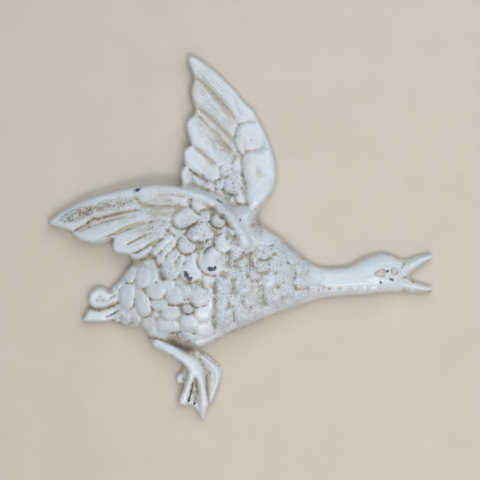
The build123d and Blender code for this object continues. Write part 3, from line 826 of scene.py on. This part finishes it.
narrow = hollowness(0.9, 0.5)
cavity = blur(0.5 * narrow + 1.0 * hollowness(1.8, 1.0) + 0.7 * hollowness(3.2, 1.6), 0.3)
mottle = noise(3.0)
wash_and_painted_shade = ease(cavity + 0.10 * mottle, -0.05, 1.0)
settled = dirt * ease(cavity + 0.25 * mottle + 0.25 * grain * stipple, -1.0, 0.5)
# Along the silhouette's edge: partly tan wash, partly painted shade that dims the highlight on the rounded
# edges.
rim_tan_and_painted_shade = 0.42 * (1 - ease(silhouette + 0.3 * mottle, 0.4, 2.0))
# From here the wash field also carries painted shade, along the edges and on the near wing.
wash_and_painted_shade = np.clip((1 - 0.55 * clean) * wash_and_painted_shade + 0.6 * settled + tan + rim_tan_and_painted_shade, 0, 1)
crease = np.maximum((1 - clean) * ease(narrow + 0.15 * grain, 0.12, 0.62), ink)

# ---- chips in the enamel: (x, z, half length, half width, angle) --------
chip_places = (
    (-34.9, 9.9, 2.5, 1, 22), (2, 5.2, 1.1, 0.6, -35), (3.2, 4.5, 1.4, 0.5, -15),
    (12.1, -3.9, 0.9, 0.5, 80), (-12.3, -28.6, 2.4, 1.5, -65), (-10.8, -30.4, 1.6, 1.1, 20),
    (-1.4, -26, 2.2, 1.3, -25), (0.6, -25.6, 1.5, 1.2, 60), (17.3, 33, 0.5, 0.5, 0),
    (79.5, -27.2, 1, 0.8, 20), (81.7, -31, 1.5, 0.9, -10), (76.6, -32.4, 1.1, 0.7, -50),
    (-16.6, -15, 0.7, 0.6, 0), (-16.7, -56.2, 0.6, 0.5, 0), (-10.1, -79.8, 1.6, 0.45, 82),
    (-10.8, -83.4, 2.6, 0.55, 78), (-11.6, -86.8, 1.8, 0.9, 70), (-9, -88.5, 1.2, 0.5, 40),
    (16.9, -43.5, 0.6, 0.5, 60), (-58, -4.9, 0.9, 0.5, 40), (100, -37, 0.7, 0.5, 10),
)
chip = np.full(node_x.shape, -1.0)
for numbers in chip_places:
    chip = np.maximum(chip, 1 - np.hypot(*oval(*numbers, everywhere)))

# ---- the hollow back --------
wing_hollow_outline = (
    (-40.0, 3.0), (-32.0, 6.6), (-24.0, 9.0), (-16.0, 8.6), (-8.0, 7.0), (-2.0, 4.8), (2.5, 1.8),
    (6.8, -1.8), (10.5, -6.5), (12.8, -10.6), (14.0, -15.0), (11.8, -18.6), (8.5, -21.5), (0.0, -25.5),
    (-12.0, -27.5), (-20.0, -25.0), (-26.0, -18.0), (-33.0, -7.5),
)
strap_low, strap_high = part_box("hanger_strap")
boss_half_width = 6.5
boss_margin = 2.0
boss_slope = 1.4
end_taper = 1.2
thinnest_wall = 2.0
far_above = 30.0
hollow_stations = torso_stations[2:8]


def hollow_heights():
    """Heights of the back over the rim plane: the hollow, with the hanger's boss standing in it."""
    x, top, bottom, depth = np.array(hollow_stations).T
    middle = np.interp(node_x, x, (top + bottom) / 2)
    half = np.interp(node_x, x, (top - bottom) / 2) - wall_thickness
    u = np.clip(np.abs(node_z - middle) / half, 0, 1)
    torso = (np.interp(node_x, x, depth) - wall_thickness) * np.sqrt(1 - u**2)
    torso *= ease(node_x, x[0], x[0] + end_taper) * (1 - ease(node_x, x[-1] - end_taper, x[-1]))
    inside = depth_inside(smooth_line(wing_hollow_outline, closed=True), everywhere)
    wing = np.where(inside > 0, (wing_plane - wall_thickness) * rounded(inside, 0.9, 0.0), 0)
    back = np.maximum(torso, wing)
    # the boss ends a bar's thickness under the strap's eye
    boss_top = strap_high.z / MM - 2 * (strap_high.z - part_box("hanger_ring")[0].z) / MM
    boss_bottom = strap_low.z / MM - boss_margin
    off_boss = np.maximum(np.abs(node_x + sketch_shift) - boss_half_width, 0)
    off_boss = np.maximum(off_boss, np.maximum(node_z - boss_top, boss_bottom - node_z))
    boss_height = rim_y - strap_back_y
    back = np.minimum(back, boss_height + far_above * ease(off_boss, 0.0, boss_slope))
    return np.minimum(blur(back, 0.3), np.maximum(relief - thinnest_wall, 0))


sandy_skin = 0.03
back_relief = hollow_heights() + np.where(is_inner, sandy_skin * noise(0.5), 0)
back_relief = np.where(is_edge, 0, np.maximum(back_relief, 0))


# ---- the casting's mesh --------
def casting_mesh():
    """A closed skin: front quads, back quads and a side wall round the silhouette."""
    inner_corners = np.stack((is_inner[:-1, :-1], is_inner[1:, :-1], is_inner[1:, 1:], is_inner[:-1, 1:]))
    cell = inner_corners.any(0)
    number = np.full(node_x.shape, -1)
    number[is_used] = np.arange(is_used.sum())
    count = is_used.sum()
    x = (node_x[is_used] + sketch_shift) * MM
    z = node_z[is_used] * MM
    front = np.column_stack((x, (rim_y - relief[is_used]) * MM, z))
    back = np.column_stack((x, (rim_y - back_relief[is_used]) * MM, z))
    i, j = np.nonzero(cell)
    corners = np.column_stack((number[i, j], number[i + 1, j], number[i + 1, j + 1], number[i, j + 1]))
    empty = np.pad(~cell, 1, constant_values=True)
    walls = []
    sides = ((0, 1, 0, -1), (1, 2, 1, 0), (2, 3, 0, 1), (3, 0, -1, 0))
    for first, second, step_i, step_j in sides:
        open_side = empty[i + 1 + step_i, j + 1 + step_j]
        a, b = corners[open_side, first], corners[open_side, second]
        walls.append(np.column_stack((b, a, a + count, b + count)))
    walls = np.vstack(walls)
    faces = np.vstack((corners, corners[:, ::-1] + count, walls))
    mesh = bpy.data.meshes.new("goose_casting")
    mesh.from_pydata(np.vstack((front, back)).tolist(), [], faces.tolist())
    fields = {"wash_and_painted_shade": wash_and_painted_shade, "crease": crease, "stipple": stipple, "chip": chip}
    fields |= {"near_barbs": near_barbs, "far_barbs": far_barbs}
    for name, field in fields.items():
        values = np.concatenate((field[is_used], np.zeros(count))).astype(np.float32)
        mesh.attributes.new(name, "FLOAT", "POINT").data.foreach_set("value", values)
    is_back = np.zeros(len(faces), np.int32)
    is_back[len(corners) : 2 * len(corners)] = 1
    mesh.polygons.foreach_set("material_index", is_back)
    mesh.polygons.foreach_set("use_smooth", np.ones(len(faces), bool))
    mesh.update()
    rim = set()
    for a, b in np.vstack((walls[:, :2], walls[:, 2:])):
        rim.add((min(a, b), max(a, b)))
    ends = np.zeros(2 * len(mesh.edges), np.int32)
    mesh.edges.foreach_get("vertices", ends)
    is_sharp = [(min(a, b), max(a, b)) in rim for a, b in ends.reshape(-1, 2)]
    sharp = mesh.attributes.new("sharp_edge", "BOOLEAN", "EDGE")
    sharp.data.foreach_set("value", is_sharp)
    return mesh


# ---- materials --------
class Shader:
    """A node material, with short calls to make and join its nodes."""

    def __init__(self, name):
        self.material = bpy.data.materials.new(name)
        self.material.use_nodes = True
        self.nodes = self.material.node_tree.nodes
        self.links = self.material.node_tree.links
        self.surface = self.nodes["Principled BSDF"]

    def put(self, target, value):
        """Sets a socket to a number or colour, or links it to another node's output."""
        if isinstance(value, bpy.types.NodeSocket):
            self.links.new(value, target)
        elif isinstance(value, tuple) and len(value) == 3 and target.type == "RGBA":
            target.default_value = (*value, 1.0)
        else:
            target.default_value = value

    def set(self, **sockets):
        """Sets the shader's own sockets by name, with _ for a space."""
        for name, value in sockets.items():
            self.put(self.surface.inputs[name.replace("_", " ")], value)

    def attribute(self, name):
        node = self.nodes.new("ShaderNodeAttribute")
        node.attribute_name = name
        return node.outputs["Fac"]

    def noise(self, per_metre, detail=3.0, roughness=0.55, stretch=1.0, angle=0.0):
        """Noise fixed to the object, drawn out by a factor along an angle in the plane of the relief."""
        node = self.nodes.new("ShaderNodeTexNoise")
        place = self.nodes.new("ShaderNodeTexCoord")
        turned = self.nodes.new("ShaderNodeMapping")
        turned.vector_type = "TEXTURE"
        turned.inputs["Rotation"].default_value = (0, -math.radians(angle), 0)
        turned.inputs["Scale"].default_value = (stretch, 1, 1)
        self.links.new(place.outputs["Object"], turned.inputs["Vector"])
        self.links.new(turned.outputs["Vector"], node.inputs["Vector"])
        node.inputs["Scale"].default_value = per_metre
        node.inputs["Detail"].default_value = detail
        node.inputs["Roughness"].default_value = roughness
        return node.outputs["Fac"]

    def math(self, operation, a, b):
        node = self.nodes.new("ShaderNodeMath")
        node.operation = operation
        self.put(node.inputs[0], a)
        self.put(node.inputs[1], b)
        return node.outputs[0]

    def times(self, a, b):
        return self.math("MULTIPLY", a, b)

    def plus(self, a, b):
        return self.math("ADD", a, b)

    def steps(self, value, low, high, to_low=0.0, to_high=1.0):
        """The value eased from to_low, at low and under, to to_high, at high and over."""
        node = self.nodes.new("ShaderNodeMapRange")
        node.interpolation_type = "SMOOTHSTEP"
        self.put(node.inputs["Value"], value)
        node.inputs["From Min"].default_value = low
        node.inputs["From Max"].default_value = high
        node.inputs["To Min"].default_value = to_low
        node.inputs["To Max"].default_value = to_high
        return node.outputs["Result"]

    def mix(self, amount, low, high):
        node = self.nodes.new("ShaderNodeMix")
        node.data_type = "RGBA"
        self.put(node.inputs["Factor"], amount)
        self.put([s for s in node.inputs if s.name == "A" and s.type == "RGBA"][0], low)
        self.put([s for s in node.inputs if s.name == "B" and s.type == "RGBA"][0], high)
        return [s for s in node.outputs if s.type == "RGBA"][0]

    def bump(self, height, distance, strength=1.0, under=None):
        node = self.nodes.new("ShaderNodeBump")
        node.inputs["Strength"].default_value = strength
        node.inputs["Distance"].default_value = distance
        self.put(node.inputs["Height"], height)
        if under is not None:
            self.put(node.inputs["Normal"], under)
        return node.outputs["Normal"]


def enamel():
    """Cream-white enamel: wash in the recesses, painted shade along the edges and on the near wing,
    streaks, specks, and chips down to the metal.
    """
    s = Shader("cream_enamel")
    wash_and_painted_shade, rough_part, chip_depth = s.attribute("wash_and_painted_shade"), s.attribute("stipple"), s.attribute("chip")
    cloudy = s.noise(160, 4)
    fine = s.noise(1100, 4, 0.65)
    fine_spread = s.plus(fine, -0.5)
    near_streaks = s.times(s.steps(s.noise(1500, 3, 0.6, 9.0, 16), 0.42, 0.66), s.attribute("near_barbs"))
    far_streaks = s.times(s.steps(s.noise(1300, 3, 0.6, 8.0, -47), 0.42, 0.66), s.attribute("far_barbs"))
    streaks = s.math("MAXIMUM", near_streaks, far_streaks)
    grime_and_painted_shade = s.plus(s.plus(wash_and_painted_shade, s.times(streaks, 0.42)), s.times(rough_part, 0.08))
    wear_and_painted_shade = s.plus(grime_and_painted_shade, s.times(fine_spread, 1.2))
    white = s.mix(s.steps(cloudy, 0.35, 0.68), (0.69, 0.745, 0.81), (0.65, 0.685, 0.72))
    creamy = s.mix(s.steps(s.noise(1600, 4, 0.75), 0.50, 0.72), white, (0.57, 0.565, 0.53))
    with_tan = s.mix(s.steps(wear_and_painted_shade, 0.08, 0.95), creamy, (0.50, 0.455, 0.38))
    deep = s.plus(s.plus(s.attribute("crease"), s.times(fine_spread, 1.6)), s.times(wash_and_painted_shade, 0.25))
    with_dirt = s.mix(s.steps(deep, 0.35, 1.10, 0.0, 0.85), with_tan, (0.20, 0.17, 0.125))
    specks = s.steps(s.plus(s.noise(2100, 3, 0.6), s.times(grime_and_painted_shade, 0.08)), 0.58, 0.64)
    speck_amount = s.times(specks, s.steps(rough_part, 0.15, 0.8, 0.0, 0.9))
    speckled = s.mix(speck_amount, with_dirt, (0.12, 0.11, 0.09))
    ragged = s.plus(chip_depth, s.times(s.plus(s.noise(1900, 5, 0.75), -0.5), 3.4))
    chipped = s.times(s.steps(ragged, 0.20, 0.34), s.steps(chip_depth, -0.1, 0.1))
    bare = s.mix(s.steps(fine, 0.4, 0.6), (0.035, 0.042, 0.066), (0.085, 0.095, 0.125))
    s.set(Base_Color=s.mix(chipped, speckled, bare))
    s.set(Roughness=s.steps(s.plus(wear_and_painted_shade, chipped), 0.0, 1.0, 0.36, 0.66))
    s.set(Coat_Weight=0.38, Coat_Roughness=0.15, IOR=1.45)
    skin = s.bump(s.noise(2300, 3, 0.6), 0.00008, 0.6, s.bump(s.noise(420, 2), 0.00018, 0.35))
    barbed = s.bump(s.times(streaks, -1.0), 0.0002, 0.6, skin)
    pits = s.times(s.noise(1300, 3, 0.6), s.steps(rough_part, 0.0, 0.9, 0.12, 1.0))
    pitted = s.bump(pits, 0.0007, 0.9, barbed)
    s.set(Normal=s.bump(s.times(chipped, -1.0), 0.00015, 0.8, pitted))
    return s.material


def raw_casting():
    """The unpainted back: dull blue-grey cast metal with a sandy skin and patches of overspray."""
    s = Shader("raw_cast_metal")
    blotches = s.noise(70, 5)
    sand = s.noise(1400, 3)
    grey = s.mix(s.steps(blotches, 0.35, 0.65), (0.12, 0.125, 0.14), (0.21, 0.21, 0.215))
    dusty = s.mix(s.steps(s.noise(220, 5), 0.55, 0.75), grey, (0.30, 0.285, 0.25))
    s.set(Base_Color=dusty, Metallic=0.55, Roughness=s.steps(blotches, 0.3, 0.7, 0.52, 0.72))
    s.set(Normal=s.bump(sand, 0.0003, 0.5, s.bump(blotches, 0.0012, 0.4)))
    return s.material


def zinc_plate():
    """Zinc-plated steel, dulled, with a fine grain."""
    s = Shader("zinc_plate")
    dull = s.noise(300, 4)
    s.set(Base_Color=s.mix(s.steps(dull, 0.35, 0.7), (0.66, 0.66, 0.64), (0.48, 0.47, 0.44)))
    s.set(Metallic=1.0, Roughness=s.steps(dull, 0.3, 0.7, 0.28, 0.46))
    s.set(Normal=s.bump(s.noise(2600, 2), 0.00006, 0.5))
    return s.material


def dull_brass():
    """Brass-plated screws, tarnished in patches."""
    s = Shader("dull_brass")
    tarnish = s.noise(700, 4)
    s.set(Base_Color=s.mix(s.steps(tarnish, 0.4, 0.68), (0.62, 0.45, 0.19), (0.27, 0.19, 0.09)))
    s.set(Metallic=1.0, Roughness=s.steps(tarnish, 0.3, 0.7, 0.26, 0.5))
    s.set(Normal=s.bump(s.noise(2400, 2), 0.00005, 0.5))
    return s.material


def bumper_rubber():
    """Dark stick-on rubber with a dusty bloom."""
    s = Shader("bumper_rubber")
    bloom = s.noise(500, 4)
    s.set(Base_Color=s.mix(s.steps(bloom, 0.45, 0.72), (0.028, 0.028, 0.029), (0.085, 0.08, 0.074)))
    s.set(Roughness=s.steps(bloom, 0.3, 0.7, 0.62, 0.85))
    s.set(Normal=s.bump(s.noise(2200, 3), 0.00008, 0.6))
    return s.material


# ---- the pieces --------
goose = bpy.data.objects.new("goose_casting", casting_mesh())
bpy.context.scene.collection.objects.link(goose)
goose.data.materials.append(enamel())
goose.data.materials.append(raw_casting())
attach(goose, "plaque")
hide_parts("casting")

plate, brass, rubber = zinc_plate(), dull_brass(), bumper_rubber()
finishes = {"plated_steel": plate, "screw_brass": brass, "bumper_rubber": rubber}
slots = {part["node"]: part["material_slot"] for part in frame["record"]["subparts"]}
for name, node in frame["nodes"].items():
    if slots[name] in finishes:
        node.data.materials.clear()
        node.data.materials.append(finishes[slots[name]])


# ---- the wall and the floor --------
def flat_sheet(name, *corners):
    mesh = bpy.data.meshes.new(name)
    mesh.from_pydata(corners, [], [(0, 1, 2, 3)])
    mesh.materials.append(plaster)
    sheet = bpy.data.objects.new(name, mesh)
    bpy.context.scene.collection.objects.link(sheet)


def pale_plaster():
    """Pale matte plaster, seen only from its front and casting no shadow, so that the back can be seen."""
    s = Shader("pale_plaster")
    s.set(Base_Color=s.mix(s.steps(s.noise(40, 4), 0.3, 0.7), (0.64, 0.575, 0.49), (0.67, 0.605, 0.52)))
    s.set(Roughness=0.9)
    s.set(Normal=s.bump(s.noise(500, 3), 0.0002, 0.3))
    geometry = s.nodes.new("ShaderNodeNewGeometry")
    path = s.nodes.new("ShaderNodeLightPath")
    clear = s.nodes.new("ShaderNodeBsdfTransparent")
    choice = s.nodes.new("ShaderNodeMixShader")
    hidden = s.math("MAXIMUM", geometry.outputs["Backfacing"], path.outputs["Is Shadow Ray"])
    s.links.new(hidden, choice.inputs["Fac"])
    s.links.new(s.surface.outputs["BSDF"], choice.inputs[1])
    s.links.new(clear.outputs["BSDF"], choice.inputs[2])
    s.links.new(choice.outputs["Shader"], s.nodes["Material Output"].inputs["Surface"])
    return s.material


wall_gap = 0.0003  # behind the bumpers' faces
half_wall = 0.45
floor_z = -0.40
half_floor = 0.7
floor_reach = 0.8
plaster = pale_plaster()
flat_sheet(
    "wall",
    (-half_wall, wall_gap, floor_z), (half_wall, wall_gap, floor_z),
    (half_wall, wall_gap, half_wall), (-half_wall, wall_gap, half_wall),
)
flat_sheet(
    "floor",
    (-half_floor, -floor_reach, floor_z), (half_floor, -floor_reach, floor_z),
    (half_floor, wall_gap, floor_z), (-half_floor, wall_gap, floor_z),
)


# ---- light and camera --------
def softbox(name, place, aim, size, watts, colour):
    """A rectangular area light that faces a point."""
    light = bpy.data.lights.new(name, "AREA")
    light.shape = "RECTANGLE"
    light.size, light.size_y = size
    light.energy = watts
    light.color = colour
    lamp = bpy.data.objects.new(name, light)
    lamp.location = place
    bpy.context.scene.collection.objects.link(lamp)
    direction = np.array(aim) - np.array(place)
    yaw = math.atan2(direction[0], -direction[1])
    tilt = math.atan2(math.hypot(direction[0], direction[1]), -direction[2])
    lamp.rotation_euler = (tilt, 0, math.pi + yaw)


view_centre_x, view_centre_z = 11.96, -12.88  # in the sketch frame
centre_x, centre_z = (sketch_shift + view_centre_x) * MM, view_centre_z * MM
aim = (centre_x, 0, centre_z)
softbox("window", (0.20, -0.58, 0.38), aim, (0.9, 0.7), 3.35, (0.91, 0.96, 1.0))
softbox("low_fill", (0.10, -0.55, -0.25), aim, (0.40, 0.14), 1.35, (0.97, 0.98, 1.0))
softbox("back_light", (0.1, 1.4, -0.1), aim, (0.5, 0.5), 20.0, (1.0, 1.0, 1.0))

sky_as_light, sky_to_camera = 0.25, 0.70
world = bpy.data.worlds.new("studio")
bpy.context.scene.world = world
world.use_nodes = True
tree = world.node_tree
background = tree.nodes["Background"]
background.inputs["Color"].default_value = (0.86, 0.93, 1.0, 1.0)
path = tree.nodes.new("ShaderNodeLightPath")
strength = tree.nodes.new("ShaderNodeMapRange")
strength.inputs["To Min"].default_value = sky_as_light
strength.inputs["To Max"].default_value = sky_to_camera
tree.links.new(path.outputs["Is Camera Ray"], strength.inputs["Value"])
tree.links.new(strength.outputs["Result"], background.inputs["Strength"])
bpy.context.scene.view_settings.view_transform = "Standard"

view_width = 0.2208
relief_middle = -0.008
focal_length = 100.0
camera_data = bpy.data.cameras.new("camera")
camera_data.lens = focal_length
camera_data.sensor_width = 36.0
camera_distance = view_width * focal_length / camera_data.sensor_width
camera = bpy.data.objects.new("camera", camera_data)
camera.location = (centre_x, relief_middle - camera_distance, centre_z)
camera.rotation_euler = (math.pi / 2, 0, 0)
bpy.context.scene.collection.objects.link(camera)
bpy.context.scene.camera = camera
